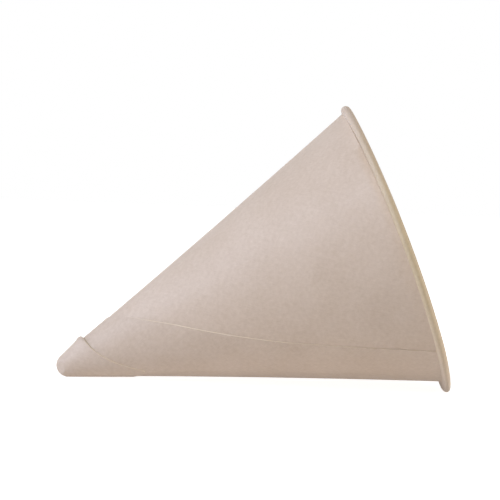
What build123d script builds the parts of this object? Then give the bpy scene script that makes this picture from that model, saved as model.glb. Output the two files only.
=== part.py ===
from build123d import *
from math import acos, asin, atan, atan2, cos, degrees, hypot, radians, sin
import os

# A cone paper cup: one sheet of paper, rolled into a cone, with a second ply
# where its straight edges overlap, wrapped again round the tip, and rolled
# outwards at the mouth. It lies on its side, as it is put down.
#
# The cup is modelled about its own axis: +Z runs from the ideal apex of the
# cone to the mouth, and +X is the side that lies on the table. Angles go round
# the axis from +X, positive towards +Y. At the end the cup is laid down.
# Lengths are in millimetres and angles in degrees.

# The sheet and the cone that it makes
paper = 0.18                 # thickness of the sheet
cone_radius = 35.45          # outside of the first ply where the rim roll begins
cone_height = 93.7           # from the ideal apex to where the rim roll begins
wall_hollow = 0.42           # how far the wall bows in between apex and mouth

# The sheet's two outer cut edges are straight on the flat sheet. Each is given
# by its distance from the apex and by the angle round the cone where it comes
# nearest to the apex, its foot
seam_distance = 19.2         # the long edge: the seam that shows from tip to mouth
seam_foot = -269.4
corner_distance = 14.1       # the short edge, which runs round the tip
corner_foot = -205.8
step_angle = 8.0             # how far round the second ply takes to come down
paste_fillet = 0.25          # how much of the step's inner corner the paste fills

# The rim: the sheet's end, rolled outwards once
roll_radius = 1.18           # outside of the roll
roll_slit = 0.12             # gap between the roll's free end and the wall
roll_offset = 0.9            # how far the rolled ring sits off the axis, to the lower side
neck_flare = 0.3             # how far the wall leans out over the height of the roll

# The tip: a blunt nose, wrapped by the sheet's loose corner
nose_radius = 2.95
nose_height = 4.67           # from the ideal apex to the nose's end
nose_plug = 3.2              # length of solid, crushed paper in the nose
wrap_lift = 1.64             # how far the wrap's corner stands off on the upper side
wrap_sink = 0.09             # how far the wrap is pressed into the ply below
fold_depth = 0.45            # how much of the nose is folded flat
fold_angle = -100.0          # where round the nose that flat faces
fold_tilt = 45.0             # how far it faces down the axis

stations = 18                # sections along each cut edge
wall_count = 3               # straight lengths that stand for the wall's bowed side above the step
roll_count = 9               # and for the arc of the rim roll
cut_depth = 1.5              # how far a cut along an edge reaches to both sides of the wall

half_angle = degrees(atan(cone_radius / cone_height))
flat_turn = sin(radians(half_angle))      # angle on the flat sheet for each angle round the cone
level_ply = paper / cos(radians(half_angle))  # thickness of a ply, measured level
slant_height = hypot(cone_radius, cone_height)


def edge_slant(distance, foot, angle):
    """Distance up the cone from the apex to a cut edge, at this angle round the cone."""
    return distance / cos(radians((angle - foot) * flat_turn))


def edges_meet(distance, foot, other_distance, other_foot):
    """Angle round the cone where two cut edges cross."""
    one = radians(foot * flat_turn)
    two = radians(other_foot * flat_turn)
    x = (distance * sin(two) - other_distance * sin(one)) / sin(two - one)
    y = (other_distance * cos(one) - distance * cos(two)) / sin(two - one)
    return degrees(atan2(y, x)) / flat_turn


def wall_radius(height, lift):
    """Outer radius, at this height, of a ply that lies `lift` plies above the first one."""
    share = height / cone_height
    bow = 4 * wall_hollow * share * (1 - share) / cos(radians(half_angle))
    return cone_radius * share + lift * level_ply - bow


# Where the sheet's edges run: the inner edge lies straight under the place
# where the two outer edges cross for the first time
inner_edge = edges_meet(corner_distance, corner_foot, seam_distance, seam_foot) + 360
seam_end = seam_foot + degrees(acos(seam_distance / (slant_height + 2 * roll_radius))) / flat_turn
loose_corner = edges_meet(corner_distance, corner_foot, seam_distance, seam_foot + 360)
step_slant = edge_slant(corner_distance, corner_foot, inner_edge + step_angle - 360)
step_bottom = (step_slant - paper) * cos(radians(half_angle))

# Heights and radii that follow
roll_inside = roll_radius - paper
roll_height = cone_height + roll_inside
ring_radius = cone_radius + neck_flare + roll_inside  # middle of the roll, from the middle of its ring
nose_centre = nose_height + nose_radius
nose_top = nose_centre - nose_radius * flat_turn
nose_top_radius = nose_radius * cos(radians(half_angle))
floor_height = nose_height + nose_plug
wrap_height = edge_slant(corner_distance, corner_foot, loose_corner) * cos(radians(half_angle)) + paper
wrap_below = wall_radius(wrap_height, 2)
wrap_above = wrap_below + wrap_lift
floor_share = (floor_height - nose_top) / (wrap_height - nose_top)
floor_below = nose_top_radius + floor_share * (wrap_below - nose_top_radius)
floor_above = nose_top_radius + floor_share * (wrap_above - nose_top_radius)
below_step = [floor_height, step_bottom]
above_step = [step_bottom + (cone_height - step_bottom) * i / wall_count for i in range(wall_count + 1)]


def meridian(angle):
    """Plane through the axis, its x away from the axis at this angle and its y up the axis."""
    out = (cos(radians(angle)), sin(radians(angle)), 0)
    return Plane(origin=(0, 0, 0), x_dir=out, z_dir=(out[1], -out[0], 0))


def chords(arc, count):
    """Straight chords along an arc: turned, they make cones, far lighter than rings of double curve."""
    return Polyline([arc @ (i / count) for i in range(count + 1)])


def ply_section(lift, heights, sink=0):
    """Section of one ply through these heights, its inner side sunk by a share of a ply."""
    outer = [(wall_radius(height, lift), height) for height in heights]
    inner = [(wall_radius(height, lift - 1 - sink), height) for height in heights]
    with BuildSketch() as section:
        with BuildLine():
            Polyline(*outer, *reversed(inner), close=True)
        make_face()
    return section.sketch


def beyond_edge(distance, foot, first, last, reach, depth):
    """Solid over the wall beyond a cut edge, between two angles, up to the slant `reach`."""
    up_wall = Vector(sin(radians(half_angle)), cos(radians(half_angle)))
    out_of_wall = Vector(up_wall.Y, -up_wall.X) * depth
    with BuildPart() as cover:
        for i in range(stations + 1):
            angle = first + (last - first) * i / stations
            start = up_wall * edge_slant(distance, foot, angle)
            end = up_wall * reach
            with BuildSketch(meridian(angle)):
                with BuildLine():
                    Polyline(
                        start - out_of_wall,
                        start + out_of_wall,
                        end + out_of_wall,
                        end - out_of_wall,
                        close=True,
                    )
                make_face()
        loft()
    return cover.part


def leaning_cone(*circles):
    """Solid between level circles, each given by its height and its reach below and above the axis."""
    with BuildPart() as cone:
        for height, below, above in circles:
            with BuildSketch(Plane.XY.offset(height)):
                with Locations(((below - above) / 2, 0)):
                    Circle((below + above) / 2)
        loft(ruled=True)
    return cone.part


# The first ply goes all the way round, but for the step where the second ply
# comes down beside the sheet's inner edge
with BuildPart() as first_ply:
    with BuildSketch(meridian(inner_edge + step_angle)):
        add(ply_section(0, above_step))
    revolve(axis=Axis.Z, revolution_arc=360 - step_angle)
    with BuildSketch(meridian(0)):
        add(ply_section(0, below_step))
    revolve(axis=Axis.Z)

# The second ply ends at the seam, which winds from the tip to the mouth
with BuildPart() as second_ply:
    with BuildSketch(meridian(0)):
        add(ply_section(1, below_step[:1] + above_step))
    revolve(axis=Axis.Z)
    past_mouth = 1.1 * slant_height
    past_seam = beyond_edge(seam_distance, seam_foot, inner_edge - 360, seam_end, past_mouth, cut_depth)
    add(past_seam, mode=Mode.SUBTRACT)

# The step, where the second ply comes down past the inner edge to be the first
with BuildPart() as step:
    with BuildSketch(meridian(inner_edge)):
        add(ply_section(1, above_step, paste_fillet))
    with BuildSketch(meridian(inner_edge + step_angle)):
        add(ply_section(0, above_step))
    loft(ruled=True)

# The sheet's loose corner, wrapped once more round the tip: a cone that leans,
# so that it lies close to the wall below and stands off it above
with BuildPart() as wrap:
    add(leaning_cone((nose_top, nose_top_radius, nose_top_radius), (wrap_height, wrap_below, wrap_above)))
    add(
        leaning_cone(
            (floor_height, floor_below - level_ply - wrap_sink, floor_above - level_ply),
            (wrap_height, wrap_below - level_ply - wrap_sink, wrap_above - level_ply),
        ),
        mode=Mode.SUBTRACT,
    )
    past_wrap = 1.5 * wrap_height
    for distance, foot, first, last in (
        (corner_distance, corner_foot, inner_edge - 360, loose_corner),
        (seam_distance, seam_foot + 360, loose_corner, inner_edge),
    ):
        add(beyond_edge(distance, foot, first, last, past_wrap, 2 * cut_depth), mode=Mode.SUBTRACT)

# The blunt nose: crushed paper under a round end
with BuildPart() as nose:
    with BuildSketch(meridian(0)):
        with BuildLine():
            dome = CenterArc((0, nose_centre), nose_radius, -90, 90 - half_angle)
            Polyline(dome @ 1, (0, nose_top), dome @ 0)
        make_face()
    revolve(axis=Axis.Z)

# The neck, where the wall leaves the cone and turns up into the roll
with BuildPart() as neck:
    neck_radius = ring_radius - roll_inside
    for inset, mode in ((0, Mode.ADD), (1, Mode.SUBTRACT)):
        foot_radius = cone_radius - inset * level_ply
        top_radius = neck_radius - inset * paper
        add(
            leaning_cone(
                (cone_height, foot_radius, foot_radius),
                (roll_height, top_radius + roll_offset, top_radius - roll_offset),
            ),
            mode=mode,
        )

# The rim roll: the sheet's end curls out, over and back under to the wall
with BuildPart() as rim_roll:
    with BuildSketch(Plane(origin=(roll_offset, 0, 0), x_dir=(1, 0, 0), z_dir=(0, -1, 0))):
        with BuildLine():
            middle = (ring_radius, roll_height)
            outside = chords(CenterArc(middle, roll_radius, 180, -270, mode=Mode.PRIVATE), roll_count)
            inside = chords(CenterArc(middle, roll_inside, 180, -270, mode=Mode.PRIVATE), roll_count)
            Line(outside @ 0, inside @ 0)
            tail = (2 * roll_radius, 0)
            Polyline(outside @ 1, outside @ 1 - tail, inside @ 1 - tail, inside @ 1)
        make_face()
    revolve(axis=Axis((roll_offset, 0, 0), (0, 0, 1)))
    with BuildSketch(Plane.XY.offset(cone_height)):
        Circle(cone_radius + level_ply + roll_slit)
    extrude(amount=-2 * paper, mode=Mode.SUBTRACT)

# The whole sheet is one piece
with BuildPart() as cup:
    for ply in (first_ply, second_ply, step, wrap, nose, neck, rim_roll):
        add(ply.part)
    facing = Vector(cos(radians(fold_angle)), sin(radians(fold_angle)), 0) * cos(radians(fold_tilt))
    facing -= Vector(0, 0, sin(radians(fold_tilt)))
    fold_middle = Vector(0, 0, nose_centre) + facing * (nose_radius - fold_depth)
    with BuildSketch(Plane(origin=fold_middle, z_dir=facing)):
        Circle(nose_radius)
    extrude(amount=nose_radius, mode=Mode.SUBTRACT)

# Laid down, the cup rests on its nose and on the lowest point of its rim roll
rise = ring_radius + roll_offset
run = roll_height - nose_centre
rest_angle = degrees(atan2(rise, run) - asin((nose_radius - roll_radius) / hypot(rise, run)))
lean, tilt = cos(radians(rest_angle)), sin(radians(rest_angle))
with BuildPart() as laid_cup:
    with Locations(Plane(origin=(0, 0, 0), x_dir=(tilt, 0, -lean), z_dir=(lean, 0, tilt)).location):
        add(cup.part)

# The origin is on the table, under the middle of the cup's box
box = laid_cup.part.bounding_box()
with BuildPart() as paper_cup:
    with Locations((-box.center().X, -box.center().Y, -box.min.Z)):
        add(laid_cup.part)

paper_cup.part.label = "paper_cup"
os.makedirs("parts", exist_ok=True)
export_step(paper_cup.part, "parts/paper_cup.step")

print("paper volume", round(paper_cup.part.volume, 1), "mm3, solids", len(paper_cup.part.solids()))
print("rest angle", round(rest_angle, 3), "degrees, the cone's own half angle", round(half_angle, 3))
print("size", paper_cup.part.bounding_box().size, "centre of mass", paper_cup.part.center(CenterOf.MASS))
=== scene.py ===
# %% [markdown]
# # A cone paper cup
# The cup lies on its side. It is one sheet of natural paper: rolled into a cone,
# lapped along a seam that winds round it, wrapped once more round its blunt tip
# and rolled outwards at the mouth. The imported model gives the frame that
# everything below is built in.

# %% Load the frame
from math import asin, atan, atan2, cos, degrees, hypot, pi, radians, sin

import bmesh
import bpy
import numpy as np
from mathutils import Matrix, Vector


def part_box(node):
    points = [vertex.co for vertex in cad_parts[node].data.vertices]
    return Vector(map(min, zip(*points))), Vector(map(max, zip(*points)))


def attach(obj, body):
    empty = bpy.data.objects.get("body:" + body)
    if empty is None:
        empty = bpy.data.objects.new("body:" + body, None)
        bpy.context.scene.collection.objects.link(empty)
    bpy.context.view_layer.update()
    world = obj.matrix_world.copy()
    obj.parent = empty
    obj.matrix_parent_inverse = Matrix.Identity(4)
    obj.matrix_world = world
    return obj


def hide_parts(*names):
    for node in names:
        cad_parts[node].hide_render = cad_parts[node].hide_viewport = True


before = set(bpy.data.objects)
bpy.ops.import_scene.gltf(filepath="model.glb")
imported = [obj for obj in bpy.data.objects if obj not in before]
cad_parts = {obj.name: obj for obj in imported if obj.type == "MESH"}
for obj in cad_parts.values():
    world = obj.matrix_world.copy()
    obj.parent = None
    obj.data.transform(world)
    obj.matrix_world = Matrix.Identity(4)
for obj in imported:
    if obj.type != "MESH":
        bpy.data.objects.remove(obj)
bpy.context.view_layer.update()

print("nodes:", sorted(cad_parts))

# %% [markdown]
# ## Camera
# The photograph was taken from the side of the cup and a little above it, with a
# long lens, so that its axis rises to the right. The camera comes first, because
# every look at the work goes through it. A Track To constraint could aim it, but
# would keep it level. Here its three directions are worked out, so that a small
# roll can turn the picture until the cone's lower side lies as level as it does
# in the photograph.

# %% Camera
MM = 0.001
photo_size = 500                        # pixels, both ways
pixels_per_mm = 4                       # at the middle of the cup
camera_distance = 600 * MM
camera_elevation = radians(6.0)
camera_azimuth = radians(0.98)          # towards the tip, from straight across the cup
camera_roll = radians(2.24)
look_at = Vector((-2.05, 0.89, 33.51)) * MM

flat = cos(camera_elevation)
back = Vector((-sin(camera_azimuth) * flat, -cos(camera_azimuth) * flat, sin(camera_elevation)))
level = Vector((cos(camera_azimuth), -sin(camera_azimuth), 0))
upright = back.cross(level)
right = level * cos(camera_roll) + upright * sin(camera_roll)
up = upright * cos(camera_roll) - level * sin(camera_roll)

lens = bpy.data.cameras.new("photo_camera")
lens.sensor_width = 36
lens.lens = lens.sensor_width * camera_distance / MM * pixels_per_mm / photo_size
camera = bpy.data.objects.new("photo_camera", lens)
bpy.context.scene.collection.objects.link(camera)
turned = Matrix((right, up, back)).transposed().to_4x4()
camera.matrix_world = Matrix.Translation(look_at + back * camera_distance) @ turned
bpy.context.scene.camera = camera
bpy.context.scene.view_settings.view_transform = "Standard"
print("lens", round(lens.lens, 1), "mm")

# %% [markdown]
# ## The flat sheet
# A cone cup is cut from flat paper, and its cut edges are nearly straight lines on
# the flat sheet. Rolled up, a straight line becomes a curve: its distance from the
# cone's apex is p / cos(angle on the flat sheet), where p is how near it comes to
# the apex. The seam could be drawn on the cone by eye instead, but then it would
# be right only on the side that the photograph shows. Worked out, it winds all
# the way round as a real one does.
#
# Lengths are in millimetres here, and in metres from the moment a mesh is made.
# Angles go round the cone in degrees, from its underside: -90 is the front, which
# faces the camera, and 180 the upper side.

# %% Sizes of the cone and its sheet
paper = 0.18                # thickness of the sheet
cone_radius = 35.45         # outside of the first ply where the rim roll begins
cone_height = 93.7          # from the ideal apex to there
seam_distance = 19.2        # the long edge's distance from the apex
seam_foot = -269.4          # and the angle round the cone where it is nearest
corner_distance = 14.1      # the same for the short edge, round the tip
corner_foot = -205.8

half_angle = atan(cone_radius / cone_height)
flat_turn = sin(half_angle)             # angle on the flat sheet for each angle round the cone
level_ply = paper / cos(half_angle)     # a ply's thickness, measured straight out from the axis
slant_height = hypot(cone_radius, cone_height)
print("half angle of the cone:", round(degrees(half_angle), 2), "degrees")


# %% Where the cut edges run
def edge_slant(distance, foot, angle, waver=((0, 1), (0, 0))):
    """Distance up the cone from the apex to a cut edge, at angles round the cone.

    The waver says how far the cut strays from straight, at distances along it."""
    flat_angle = np.radians((angle - foot) * flat_turn)
    strays = np.interp(np.abs(distance * np.tan(flat_angle)), *waver)
    return (distance + strays) / np.cos(flat_angle)


def edges_meet(distance, foot, other_distance, other_foot):
    """Angle round the cone where two cut edges cross."""
    one = radians(foot * flat_turn)
    two = radians(other_foot * flat_turn)
    x = (distance * sin(two) - other_distance * sin(one)) / sin(two - one)
    y = (other_distance * cos(one) - distance * cos(two)) / sin(two - one)
    return degrees(atan2(y, x)) / flat_turn


inner_edge = edges_meet(corner_distance, corner_foot, seam_distance, seam_foot) + 360
loose_corner = edges_meet(corner_distance, corner_foot, seam_distance, seam_foot + 360)
print("inner edge at", round(inner_edge, 1), "loose corner at", round(loose_corner, 1), "degrees")

# %% [markdown]
# ## Where the cup lies
# It lies on its nose and on the lowest point of its rim roll, so its axis rises
# towards the mouth. It could be built upright and its object turned afterwards,
# but here a piece's object stays at the origin and its place is in its mesh. So
# three directions turn the cup's own axes into the frame's: along the axis, down
# to the table, and to the side.
#
# A paper cup is never quite true. Seen from the side, the rim of this one bows a
# little: its front and back stand further out than its top and bottom.

# %% The cup's axes in the frame
nose_radius = 2.95          # the blunt tip
nose_height = 4.67          # from the ideal apex to the nose's end
roll_radius = 1.18          # the rim roll, outside
roll_offset = 0.9           # how far its ring sits off the axis, to the lower side
neck_flare = 0.3            # how far the wall leans out over the height of the roll
rim_bow = 1.38

nose_centre = nose_height + nose_radius
roll_inside = roll_radius - paper
roll_height = cone_height + roll_inside
ring_radius = cone_radius + neck_flare + roll_inside
rise = ring_radius + roll_offset
run = roll_height - nose_centre
rest_angle = atan2(rise, run) - asin((nose_radius - roll_radius) / hypot(rise, run))
along = np.array((cos(rest_angle), 0, sin(rest_angle)))
down = np.array((sin(rest_angle), 0, -cos(rest_angle)))
side = np.array((0.0, 1.0, 0.0))
box_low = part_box("paper_cup")[0] / MM
nose_place = np.array((box_low.x, 0, box_low.z)) + nose_radius * np.array((1, 0, 1))
apex = nose_place - nose_centre * along
print("rest angle", round(degrees(rest_angle), 2), "degrees, apex at", apex.round(3), "mm")


def in_frame(x, y, height):
    """Points in the frame, in metres, from their place about the cup's own axis."""
    sideways = y**2 / np.maximum(x**2 + y**2, 1e-9)
    height = height + rim_bow * sideways * np.clip(height / cone_height, 0, 1) ** 2
    return (apex + x[..., None] * down + y[..., None] * side + height[..., None] * along) * MM


# %% [markdown]
# ## The sheet's profile
# Spinning an outline round the axis would give a cone with a rim in one step, but
# not a sheet that laps over itself. So each point of the sheet is placed on its
# own. It is known by its travel, which is how far up the sheet it lies from the
# apex, and by its depth, counted from the face that looks into the cup. Up the
# wall the profile is the cone's side, which bows in a little. At the mouth it goes
# through the neck, round the roll and back to the wall. Going deeper means
# outwards on the wall, and so towards the middle of the roll on the rim.

# %% Profile of the wall and the roll
wall_hollow = 0.42                      # how far the wall bows in between apex and mouth
roll_turn = radians(270)                # how far round the roll goes before its tail
neck_end = slant_height + roll_inside
roll_end = neck_end + roll_radius * roll_turn
sheet_end = roll_end + roll_radius      # the tail's own length: it is stretched to reach the wall
print("the roll takes up", round(roll_end - slant_height, 2), "mm of the sheet")


def wall_radius(height, lift):
    """Outer radius, at this height, of a ply that lies `lift` plies above the first one."""
    share = height / cone_height
    bow = 4 * wall_hollow * share * (1 - share) / cos(half_angle)
    return cone_radius * share + lift * level_ply - bow


# %% [markdown]
# ## How the roll is out of round
# The roll of a real cup isn't the same all the way round. This one is pressed
# narrower at its lowest part, which carries the cup. The mouth is a little oval,
# and at its front and back the roll is narrower too, so that the crease beside it
# lies further out. A lattice could bend a finished rim like this. Written into the
# profile, the dents leave the wall as it is, and the tail still ends beside it.

# %% Dents of the roll
roll_press = 0.26           # how much narrower the roll is where the cup lies on it
press_limit = 0.6           # cosine of the angle from there at which the pressing has died away
press_power = 1.5           # over 1, so that it dies away gently
press_shift = 0.32          # how far in the pressed part would move, if it were pressed flat
roll_oval = 0.2             # how much narrower the roll is at its front and back
oval_onset = 0.15           # how soon that begins on the way from its top or bottom
tail_gap = 0.35             # between the roll's tail and the wall, in plies
tail_spread = 0.3           # and how many mm wider, if the roll were narrowed to nothing


def pressed_roll(turn, radius, height, rolled):
    """Radius and height of points once the cup's weight has pressed the roll."""
    low = roll_height - roll_radius
    near_bottom = np.clip((np.cos(turn) - press_limit) / (1 - press_limit), 0, 1)
    pressed = roll_press * near_bottom**press_power
    radius = np.where(rolled, radius - press_shift * pressed, radius)
    height = np.where(height > low, low + (height - low) * (1 - pressed), height)
    return radius, height


print("where the cup lies, the roll is", round(2 * roll_radius * (1 - roll_press), 2), "mm wide")


# %% A point of the sheet
def sheet_point(angle, travel, depth, wall_plies):
    """Place of a point of the sheet. The roll's tail ends beside a wall of so many plies."""
    turn = np.radians(angle)
    up_neck = np.clip((travel - slant_height) / roll_inside, 0, 1)
    wall_height = np.minimum(travel, slant_height) * cos(half_angle)
    wall = wall_radius(wall_height, -1) + depth / cos(half_angle)
    reach = roll_radius - depth
    sideways = np.sin(turn) ** 2
    oval = roll_oval * (1 + oval_onset) * sideways / (sideways + oval_onset)
    radius = wall + (ring_radius - reach - wall) * up_neck
    height = wall_height + (roll_inside + roll_radius * oval) * up_neck

    curl = pi - np.clip((travel - neck_end) / roll_radius, 0, roll_turn)
    rolled = travel > neck_end
    narrowed = (roll_radius - reach * np.sin(curl)) * (1 - oval)
    radius = np.where(rolled, ring_radius + reach * np.cos(curl), radius)
    height = np.where(rolled, roll_height + roll_radius - narrowed, height)

    in_tail = np.clip((travel - roll_end) / (sheet_end - roll_end), 0, 1)
    beside = cone_radius + level_ply * (wall_plies - 1 + tail_gap) + tail_spread * oval
    tail_end = np.sqrt(beside**2 - (roll_offset * np.sin(turn)) ** 2) - roll_offset * np.cos(turn)
    radius = radius + (tail_end - radius) * in_tail

    radius, height = pressed_roll(turn, radius, height, rolled)
    return roll_offset * up_neck + radius * np.cos(turn), radius * np.sin(turn), height


for place, angle in (("bottom", 0), ("top", 180)):
    x, y, height = sheet_point(angle, neck_end + pi * roll_radius, 0, 2)
    print("the roll's", place, "is", round(hypot(x, y), 2), "mm from the axis")

# %% [markdown]
# ## Winding the sheet
# The cone is two turns of paper. A Screw modifier winds an outline too, but gives
# every turn the same top. Here the sheet is one grid: its columns go round the
# cone from the sheet's inner edge, and its rows go up to the sheet's end. On the
# first turn that end is in the rim roll; on the second it is there or at the seam.
# Where the second turn passes over the inner edge it climbs by one ply. Columns
# stand closer together where the seam runs up into the roll.

# %% Where the sheet ends
seam_waver = ((20, 34, 50, 64, 80, 98), (0.0, 0.3, -0.25, -0.55, -0.1, 0.6))
nick_angle = -65.5          # a small nick in the seam, near its middle
nick_depth = 0.35
nick_width = 0.4            # degrees, to either side


def seam_angle(slant):
    """Angle at which the straight seam, shifted as its waver ends, is this far up the cone."""
    shifted = seam_distance + seam_waver[1][-1]
    return seam_foot - 360 + np.degrees(np.arccos(shifted / slant)) / flat_turn


seam_starts = seam_angle(sheet_end)
print("the seam leaves the roll at", round(seam_starts + 360, 1), "degrees")


def sheet_top(angle):
    """How far up the sheet reaches at an angle, to the end of the roll or to the seam."""
    seam = edge_slant(seam_distance, seam_foot - 360, angle, seam_waver)
    seam = seam + nick_depth * np.clip(1 - np.abs(angle - nick_angle + 360) / nick_width, 0, 1)
    return np.where(angle >= seam_starts - 1e-6, sheet_end, np.minimum(seam, sheet_end))


# %% Columns of the grid
column_step = 2.0           # degrees
step_angle = 8.0            # how far round a ply takes to climb over the inner edge
below_roll = 1.5            # the close columns begin this far below the roll
seam_rise = 0.2             # and the seam rises by this much from one to the next

at_nick = inner_edge - nick_angle + 360 + np.linspace(-0.5, 0.5, 5)
into_roll = inner_edge - seam_angle(np.arange(sheet_end, slant_height - below_roll, -seam_rise))
special = [360 - step_angle, *at_nick, *into_roll]
wound = np.unique(np.concatenate((np.arange(0, 721, column_step), special)))
angles = inner_edge - wound
print(len(wound), "columns,", len(into_roll), "of them where the seam runs into the roll")

# %% Rows of the grid
nose_plug = 3.2             # length of crushed paper in the nose
tuck = 0.4                  # how far the sheet's lower end goes into it
row_gap = 0.02              # between rows that have crowded up to the seam
wall_rows, neck_rows, roll_rows, tail_rows = 40, 3, 28, 3

first_travel = (nose_height + nose_plug - tuck) / cos(half_angle)
stops = np.concatenate(
    (
        np.linspace(first_travel, slant_height, wall_rows, endpoint=False),
        np.linspace(slant_height, neck_end, neck_rows, endpoint=False),
        np.linspace(neck_end, roll_end, roll_rows, endpoint=False),
        np.linspace(roll_end, sheet_end, tail_rows),
    )
)


def rows_up_to(top):
    """Travel of each row in each column. Rows that would pass the column's top crowd up to it."""
    crowded = row_gap * np.arange(len(stops))[::-1]
    return np.minimum(stops[:, None], top[None, :] - crowded[:, None])


travel = rows_up_to(sheet_top(angles))
print("grid of", travel.shape, "points")

# %% [markdown]
# ## Two faces
# Each ply has a face on either side, a sheet's thickness apart. A Solidify
# modifier could add the second one, but its edge would be square. A cut edge of
# soft paper wears: its outer corner is rubbed down, which the light catches as a
# bright line. So the outer face ends a little before the inner one.

# %% Points of both faces
seam_bevel = ((25, 35, 92), (0.1, 0.4, 0.0))        # the worn edge, at distances up the cone
lap_press = 0.98            # the second ply lies this much of a ply above the first
laps = np.clip((wound - (360 - step_angle)) / step_angle, 0, 1) * lap_press
angle_grid = np.broadcast_to(angles, travel.shape)
lap_grid = np.broadcast_to(laps, travel.shape)
plies = np.where((wound >= 360) | (travel < sheet_top(angles - 360)), 2.0, 1.0)
wall_plies = np.where((wound >= 360) | (angles - 360 > seam_starts), 2.0, 1.0)

worn_top = sheet_top(angles) - np.interp(sheet_top(angles), *seam_bevel)
faces = []
for depth, up_sheet in ((0.0, travel), (paper, rows_up_to(worn_top))):
    point = sheet_point(angle_grid, up_sheet, depth + lap_grid * paper, wall_plies[None, :])
    faces.append(in_frame(*point).reshape(-1, 3))
print("two faces of", len(faces[0]), "points,", round(100 * (plies == 2).mean()), "% on two plies")

# %% [markdown]
# ## From grids to meshes
# Each ply is a closed shell: two faces, joined by narrow strips along the cut
# edges. Two loose faces would look the same from here, but a mesh that others
# reuse should be closed. The strips get a material of their own, because cut paper
# looks a little lighter than its face, and they are paler still as a painted
# highlight, for the light that the thin edge catches. The normals are recalculated,
# and the count of open edges is printed, which should be none.


# %% Mesh helpers
def strip(one, other):
    """Quads between two lines of points."""
    return [(one[k], other[k], other[k + 1], one[k + 1]) for k in range(len(one) - 1)]


def on_flat_sheet(angle, slant):
    """Where points lie on the flat sheet, in millimetres: the paper's pattern follows this."""
    turn = np.radians(angle * flat_turn)
    return np.stack((slant * np.sin(turn), slant * np.cos(turn), 0 * slant), -1).reshape(-1, 3)


# %% From points and faces to an object
def paper_object(name, points, face_quads, cut_quads, sheet, **marks):
    """Object from points and faces, with the cut edges in its second material slot.

    The marks, such as the count of plies, are numbers that the paper material reads."""
    mesh = bpy.data.meshes.new(name)
    mesh.from_pydata([tuple(point) for point in points], [], face_quads + cut_quads)
    slots = [0] * len(face_quads) + [1] * len(cut_quads)
    mesh.polygons.foreach_set("material_index", slots)
    for mark, values in marks.items():
        marked = mesh.attributes.new(mark, "FLOAT", "POINT")
        marked.data.foreach_set("value", np.asarray(values, np.float32).ravel())
    placed = mesh.attributes.new("sheet", "FLOAT_VECTOR", "POINT")
    placed.data.foreach_set("vector", np.asarray(sheet, np.float32).ravel())
    shell = bmesh.new()
    shell.from_mesh(mesh)
    bmesh.ops.recalc_face_normals(shell, faces=shell.faces)
    open_edges = sum(not edge.is_manifold for edge in shell.edges)
    print(name, len(shell.faces), "faces,", open_edges, "open edges")
    shell.to_mesh(mesh)
    shell.free()
    mesh.shade_smooth()
    mesh.set_sharp_from_angle(angle=radians(40))
    piece = bpy.data.objects.new(name, mesh)
    bpy.context.scene.collection.objects.link(piece)
    return piece


# %% The cone
rows, columns = travel.shape
inner = np.arange(rows * columns).reshape(rows, columns)
outer = inner + rows * columns
face_quads, cut_quads = [], []
for grid in (inner, outer):
    for row in range(rows - 1):
        face_quads += strip(grid[row].tolist(), grid[row + 1].tolist())
for line in (np.s_[:, 0], np.s_[:, -1], np.s_[0, :], np.s_[-1, :]):
    cut_quads += strip(inner[line].tolist(), outer[line].tolist())
flat_places = on_flat_sheet(angle_grid, travel)

shade_tint_reach = 0.6            # the roll has all of its painted shade tint from this far round it
past_wall = (travel - slant_height) / (shade_tint_reach * (sheet_end - slant_height))
# painted shade on the roll: it grows past the wall and is strongest at the roll's front and back
roll_shade_share = np.clip(past_wall, 0, 1) * np.sin(np.radians(angles)) ** 2
cone = paper_object(
    "cup_cone",
    np.concatenate(faces),
    face_quads,
    cut_quads,
    [flat_places, flat_places],
    plies=[plies, plies],
    rolled=[roll_shade_share, roll_shade_share],
)

# %% [markdown]
# ## The tip
# The sheet's loose corner goes once more round the tip. It lies close to the wall
# below and in front, and stands off it above. Its free edge is soft from handling:
# its corner is rounded, and it swells to a lip that curls in again. The lower end
# closes into the blunt nose. The wrap's grid could be cut along its slanting edge
# by a boolean, but that leaves ragged faces. Here its rings tilt by degrees from
# the level nose to the edge, so that the last one runs along it.

# %% Sizes of the wrap
wrap_lift = 1.64            # how far the wrap's corner stands off on the upper side
lift_power = 3.5            # how fast that dies away towards the lower side
wrap_sink = 0.09            # how far the wrap is pressed into the ply below
wrap_bevel = 0.2            # its worn edge
corner_waver = ((5, 10, 16, 22), (0.1, -0.35, -0.25, 0.4))
corner_round = 0.5          # how far the loose corner is rounded
corner_reach = 20           # degrees to either side of it where both edges count
lip_width = 3.0
lip_swell = 0.27
lip_curl = 1.25             # half waves: over 1, so that the lip curls in again

nose_top = nose_centre - nose_radius * flat_turn
nose_top_radius = nose_radius * cos(half_angle)
floor_height = nose_height + nose_plug
wrap_height = edge_slant(corner_distance, corner_foot, loose_corner) * cos(half_angle) + paper
wrap_below = wall_radius(wrap_height, 2)
print("the wrap's corner is", round(wrap_height - nose_height, 2), "mm from the end of the nose")


# %% A point of the wrap
def wrap_top(angle):
    """Slant of the wrap's cut edge: the short edge, a rounded corner and the seam's other end."""
    before = np.minimum(angle, loose_corner + corner_reach)
    after = np.maximum(angle, loose_corner - corner_reach)
    short = edge_slant(corner_distance, corner_foot, before, corner_waver)
    long = edge_slant(seam_distance, seam_foot + 360, after)
    either = np.where(angle < loose_corner, short, long)
    rounded = -corner_round * np.log(np.exp(-short / corner_round) + np.exp(-long / corner_round))
    return np.where(np.abs(angle - loose_corner) < corner_reach, rounded, either)


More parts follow.
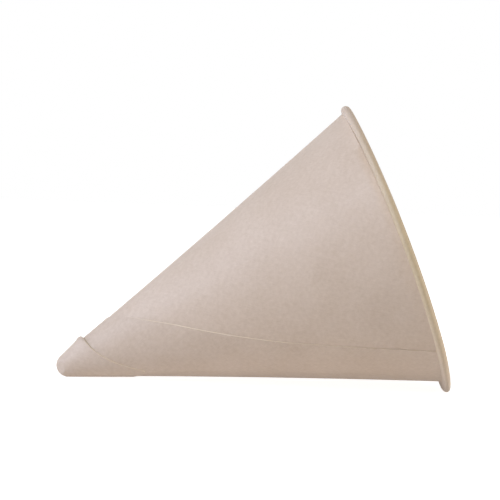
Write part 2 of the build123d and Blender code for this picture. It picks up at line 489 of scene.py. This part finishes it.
def wrap_point(angle, height, inside):
    """Place of a point of the wrap's outer face, or of its inner face where inside is 1."""
    share = (height - nose_top) / (wrap_height - nose_top)
    close = nose_top_radius + share * (wrap_below - nose_top_radius)
    close = close - inside * (level_ply + wrap_sink)
    turn = np.radians(angle)
    raised = ((1 - np.cos(turn)) / 2) ** lift_power
    to_edge = (wrap_top(angle) * cos(half_angle) - height) / lip_width
    lip = lip_swell * np.sin(lip_curl * pi * np.clip(1 - to_edge, 0, 1) ** 2)
    radius = close + (share * wrap_lift + lip + inside * wrap_sink) * raised
    return radius * np.cos(turn), radius * np.sin(turn), height


# %% The tip's outer rings, from the nose up to the cut edge
tip_columns = 240
nose_rings, wrap_rings, pit_rings = 18, 29, 15
ring_power = 1.5            # over 1, so that the wrap's rings crowd towards its edge
tip_angles = inner_edge - np.arange(tip_columns) * 360 / tip_columns
tip_turn = np.radians(tip_angles)
tip_top = wrap_top(tip_angles) * cos(half_angle)
rings = []
for latitude in np.linspace(-pi / 2, -half_angle, nose_rings)[1:]:
    radius = nose_radius * cos(latitude)
    height = np.full(tip_columns, nose_centre + nose_radius * sin(latitude))
    rings.append((radius * np.cos(tip_turn), radius * np.sin(tip_turn), height))

up_wrap = 1 - (1 - np.linspace(0, 1, wrap_rings)) ** ring_power
for share in up_wrap[1:]:
    rings.append(wrap_point(tip_angles, nose_top + share * (tip_top - wrap_bevel - nose_top), 0))
edge_ring = len(rings) - 1
print(len(rings), "rings outside, the wrap's edge is lowest at", round(tip_top.min(), 1), "mm")

# %% [markdown]
# Inside the tip, the paper is crushed to a plug. Its top could be left flat, but
# that looks like a disc of card through the mouth. Pleats that turn as they go in
# make it look twisted shut.

# %% The tip's inner rings, down to the crushed paper
pit_depth = 2.5
pleat_depth = 0.45
pleat_count = 3
pleat_twist = 5             # radians, from the rim of the pit to its middle
for share in up_wrap[::-1]:
    rings.append(wrap_point(tip_angles, floor_height + share * (tip_top - floor_height), 1))
wide_x, wide_y, top_height = rings[-1]
for share in np.arange(1, pit_rings) / pit_rings:
    wave = np.sin(pleat_count * tip_turn + pleat_twist * share)
    pleats = pleat_depth * share * (1 - share) * 4 * wave
    pit_height = top_height - pit_depth * share + pleats
    rings.append((wide_x * (1 - share), wide_y * (1 - share), pit_height))
poles = ((0, 0, nose_height), (0, 0, floor_height - pit_depth))
tip_local = np.concatenate([np.stack(ring, -1) for ring in rings] + [np.array(poles)])
print(len(rings), "rings in all,", len(tip_local), "points")

# %% The flat fold on the nose
fold_depth = 0.45           # how much of the nose is folded flat
fold_angle = radians(-100)  # where round the nose that flat faces
fold_tilt = radians(45)     # and how far down the axis
fold_press = 0.92           # how much of what stands proud of it is pressed in
facing = np.array(
    (cos(fold_angle) * cos(fold_tilt), sin(fold_angle) * cos(fold_tilt), -sin(fold_tilt))
)
proud = (tip_local - (0, 0, nose_centre)) @ facing - (nose_radius - fold_depth)
tip_local -= facing * (np.maximum(proud, 0) * fold_press)[:, None]
tip_points = in_frame(*tip_local.T)
print((proud > 0).sum(), "points pressed in, by", round(proud.max() * fold_press, 2), "mm at most")

# %% The tip's mesh
ring_index = np.arange(len(rings) * tip_columns).reshape(len(rings), tip_columns)
closed = np.concatenate((ring_index, ring_index[:, :1]), axis=1).tolist()
tip_faces, tip_cuts = [], []
for i in range(len(rings) - 1):
    (tip_cuts if i == edge_ring else tip_faces).extend(strip(closed[i], closed[i + 1]))
for pole, ring in ((len(tip_local) - 2, closed[0]), (len(tip_local) - 1, closed[-1])):
    tip_faces += [(pole, ring[k], ring[k + 1]) for k in range(tip_columns)]
point_angles = np.append(np.tile(tip_angles, len(rings)), (0, 0))
tip_places = on_flat_sheet(point_angles, tip_local[:, 2] / cos(half_angle))
every = np.ones(len(tip_local))
tip = paper_object(
    "tip_wrap", tip_points, tip_faces, tip_cuts, tip_places, plies=2 * every, rolled=0 * every
)

# %% [markdown]
# ## Paper
# The cup is natural, uncoated paper. It is made from wood fibres that settle
# unevenly on the wire, which gives the sheet its cloudy look, at a millimetre or
# two. Single fibres are one to three millimetres long and far thinner than the eye
# can see here, so they are drawn about ten times as wide. A picture of paper would
# need a file and an unwrapped mesh. This pattern needs neither: it is laid out on
# the flat sheet, and so it winds round the cone as the paper does.


# %% Colours and nodes
def linear(hex_colour):
    """Linear colour from an sRGB hex value such as #c8b6a8."""
    channels = [int(hex_colour[i : i + 2], 16) / 255 for i in (1, 3, 5)]
    return [c / 12.92 if c <= 0.04045 else ((c + 0.055) / 1.055) ** 2.4 for c in channels] + [1.0]


def add_node(tree, kind, settings=None, **links):
    """New node with its settings, and its inputs set or linked.

    An input goes by its name, or by its number as i0, i1 and so on."""
    node = tree.nodes.new(kind)
    for key, value in (settings or {}).items():
        setattr(node, key, value)
    for key, value in links.items():
        numbered = key[0] == "i" and key[1:].isdigit()
        socket = node.inputs[int(key[1:]) if numbered else key.replace("_", " ")]
        if isinstance(value, bpy.types.NodeSocket):
            tree.links.new(value, socket)
        else:
            socket.default_value = value
    return node


print("mid grey #808080 is", round(linear("#808080")[0], 3), "of white in linear light")

# %% The pattern of the fibres
cloud_size = 1.1            # millimetres, as the next three
drift_size = 12             # slow changes of tone across the sheet
fibre_width = 0.3
fibre_length = 2.2
fibre_share = 0.3           # how much the fibres and the drifts count in the tone
drift_share = 0.3
fibre_relief = 0.6          # and the fibres in the relief
numbers = {"data_type": "FLOAT"}


def paper_pattern(tree):
    """Two patterns from nought to one: the paper's uneven tone, and the grain of its relief."""
    sheet = add_node(tree, "ShaderNodeAttribute", {"attribute_name": "sheet"}).outputs["Vector"]
    clouds = add_node(
        tree, "ShaderNodeTexNoise", Vector=sheet, Scale=1 / cloud_size, Detail=4.0, Roughness=0.7
    ).outputs["Fac"]
    drifts = add_node(
        tree, "ShaderNodeTexNoise", Vector=sheet, Scale=1 / drift_size, Detail=2.0, Roughness=0.5
    ).outputs["Fac"]
    stretch = (1 / fibre_width, 1 / fibre_length, 1.0)
    lengthwise = add_node(tree, "ShaderNodeMapping", Vector=sheet, Scale=stretch).outputs[0]
    fibres = add_node(
        tree, "ShaderNodeTexNoise", Vector=lengthwise, Scale=1.0, Detail=2.0, Roughness=0.6
    ).outputs["Fac"]
    uneven = add_node(
        tree, "ShaderNodeMix", numbers, Factor=fibre_share, i2=clouds, i3=fibres
    ).outputs[0]
    tone = add_node(tree, "ShaderNodeMix", numbers, Factor=drift_share, i2=uneven, i3=drifts)
    grain = add_node(tree, "ShaderNodeMix", numbers, Factor=fibre_relief, i2=clouds, i3=fibres)
    return tone.outputs[0], grain.outputs[0]


print("clouds", cloud_size, "mm, fibres", fibre_width, "by", fibre_length, "mm")

# %% [markdown]
# Two plies let less light through than one, so the overlap is painted a shade
# darker: painted shade, for the light that shines through the paper. The front and
# the back of the roll are painted a little yellower: painted shade, for the middle
# of the roll, which the lamps at the sides hardly light. Both could be painted on by
# hand. Here the mesh carries them, as the numbers that each point was given.

# %% Paper material
tone_range = (0.35, 0.65)   # the pattern seldom goes outside this
# painted shade: the overlap of two plies is made darker, for the light that passes through one ply
# but not two
overlap_shade = 0.965       # the tone of two plies, where one ply is 1
# painted shade: this tint makes the roll's front and back yellower
roll_shade_tint = "#f8f8e4"
relief_height = 0.05 * MM
colours = {"data_type": "RGBA"}
multiplied = {"data_type": "RGBA", "blend_type": "MULTIPLY"}


def natural_paper(name, light, dark, relief_strength):
    """Uncoated paper that changes between a light and a dark tone, with fibres in relief."""
    material = bpy.data.materials.new(name)
    material.use_nodes = True
    tree = material.node_tree
    tree.nodes.clear()
    tone, grain = paper_pattern(tree)
    low, high = tone_range
    spread = add_node(
        tree, "ShaderNodeMapRange", Value=tone, From_Min=low, From_Max=high
    ).outputs[0]
    colour = add_node(
        tree, "ShaderNodeMix", colours, Factor=spread, i6=linear(dark), i7=linear(light)
    ).outputs[2]
    # painted shade where two plies lie on each other
    plies = add_node(tree, "ShaderNodeAttribute", {"attribute_name": "plies"}).outputs["Fac"]
    shade = add_node(
        tree,
        "ShaderNodeMapRange",
        Value=plies,
        From_Min=1.0,
        From_Max=2.0,
        To_Min=1.0,
        To_Max=overlap_shade,
    ).outputs[0]
    colour = add_node(
        tree, "ShaderNodeMix", multiplied, Factor=1.0, i6=colour, i7=shade
    ).outputs[2]
    # painted shade: the roll is made yellower where its mark is set
    rolled = add_node(tree, "ShaderNodeAttribute", {"attribute_name": "rolled"}).outputs["Fac"]
    colour = add_node(
        tree, "ShaderNodeMix", multiplied, Factor=rolled, i6=colour, i7=linear(roll_shade_tint)
    ).outputs[2]
    relief = add_node(
        tree, "ShaderNodeBump", Height=grain, Strength=relief_strength, Distance=relief_height
    ).outputs[0]
    shader = add_node(
        tree, "ShaderNodeBsdfPrincipled", Base_Color=colour, Roughness=0.58, IOR=1.5, Normal=relief
    )
    add_node(tree, "ShaderNodeOutputMaterial", Surface=shader.outputs[0])
    return material


print("two plies are", round(100 * (1 - overlap_shade), 1), "% darker than one")

# %% Paper on the pieces
# Kraft paper, pressed fairly smooth on the machine: pinkish brown, with a soft, broad sheen.
face_paper = natural_paper("natural_kraft_paper", "#d7c6b6", "#c7b4a1", relief_strength=0.9)
# The same paper, cut by a knife: paler, because the fibres stand open there, and paler still as a
# painted highlight along the edges.
cut_paper_and_highlight = natural_paper("cut_paper_edge_and_highlight", "#e9dcc9", "#dfcfba", relief_strength=0.2)
for piece in (cone, tip):
    piece.data.materials.append(face_paper)
    piece.data.materials.append(cut_paper_and_highlight)
    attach(piece, "root")
    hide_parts("paper_cup")
    print(piece.name, "has", [slot.name for slot in piece.data.materials])

# %% [markdown]
# ## Floor and background
# The cup is shown on white. More light could whiten a grey floor, but it would
# bleach the cup as well. So the floor is a plain pale sheet with a weak light of
# its own, like a light table, which reaches the cup's underside. What is seen of
# it, directly or in a reflection, is lifted to white, and it still takes the cup's
# soft shadow.


# %% Floor
def seen_directly(tree):
    """One for rays from the camera or by way of a reflection, nought for diffuse light."""
    path = add_node(tree, "ShaderNodeLightPath")
    seen = path.outputs["Is Camera Ray"]
    for kind in ("Is Glossy Ray", "Is Transmission Ray"):
        larger = {"operation": "MAXIMUM"}
        seen = add_node(tree, "ShaderNodeMath", larger, i0=seen, i1=path.outputs[kind]).outputs[0]
    return seen


def light_table(name, plain, tint, shine, lift):
    """Pale floor that shines a little, and is lifted further towards white where it is seen."""
    material = bpy.data.materials.new(name)
    material.use_nodes = True
    tree = material.node_tree
    tree.nodes.clear()
    matt = add_node(tree, "ShaderNodeBsdfDiffuse", Color=linear(plain))
    weak = add_node(tree, "ShaderNodeEmission", Color=linear(tint), Strength=shine)
    strong = add_node(tree, "ShaderNodeEmission", Color=linear("#ffffff"), Strength=lift)
    seen = seen_directly(tree)
    glow = add_node(tree, "ShaderNodeMixShader", i0=seen, i1=weak.outputs[0], i2=strong.outputs[0])
    both = add_node(tree, "ShaderNodeAddShader", i0=matt.outputs[0], i1=glow.outputs[0])
    add_node(tree, "ShaderNodeOutputMaterial", Surface=both.outputs[0])
    return material


floor_size = 1.0
bpy.ops.mesh.primitive_plane_add(size=floor_size, location=(0, 0, 0))
floor = bpy.context.object
floor.name = "floor"
# Opal plastic sheet, lit from below: even, faintly warm white.
opal_sheet = light_table("light_table", plain="#f0efed", tint="#ffeee2", shine=0.105, lift=0.89)
floor.data.materials.append(opal_sheet)
print("floor", floor_size, "m wide")

# %% Room
room_strength = 0.12
world = bpy.data.worlds.new("white_studio")
bpy.context.scene.world = world
world.use_nodes = True
tree = world.node_tree
tree.nodes.clear()
room = add_node(tree, "ShaderNodeBackground", Color=linear("#fff8f1"), Strength=room_strength)
white = add_node(tree, "ShaderNodeBackground", Color=linear("#ffffff"), Strength=1.0)
seen = seen_directly(tree)
choose = add_node(tree, "ShaderNodeMixShader", i0=seen, i1=room.outputs[0], i2=white.outputs[0])
add_node(tree, "ShaderNodeOutputWorld", Surface=choose.outputs[0])
print("the room gives", room_strength, "of white, and is seen as white")

# %% [markdown]
# ## Light
# The light comes from the sides, as in a product photograph: a large soft light
# at the left, which makes the tip and the upper side the brightest, one in front
# and above, and one at the right for the rim. The left one is the cooler. Sun
# lamps would be simpler, but they light the whole cup alike; area lamps fade
# across it, as they do in the photograph.


# %% Lamps
def soft_light(name, place, size, power, colour):
    """Square area lamp, in metres and watts, that faces the cup."""
    lamp = bpy.data.lights.new(name, "AREA")
    lamp.size = size
    lamp.energy = power
    lamp.color = linear(colour)[:3]
    holder = bpy.data.objects.new(name, lamp)
    bpy.context.scene.collection.objects.link(holder)
    holder.location = place
    towards_cup = Vector((0, 0, 30 * MM)) - Vector(place)
    holder.rotation_euler = towards_cup.to_track_quat("-Z", "Y").to_euler()
    print(name, "is", round(towards_cup.length, 2), "m from the cup")


soft_light("left_softbox", (-0.4, -0.12, 0.2), size=0.3, power=1.3, colour="#c2d6ff")
soft_light("front_softbox", (-0.4, -0.33, 0.55), size=0.44, power=2.52, colour="#fff5e1")
soft_light("right_softbox", (0.9, -0.26, 0.18), size=0.34, power=4.6, colour="#fffaf4")
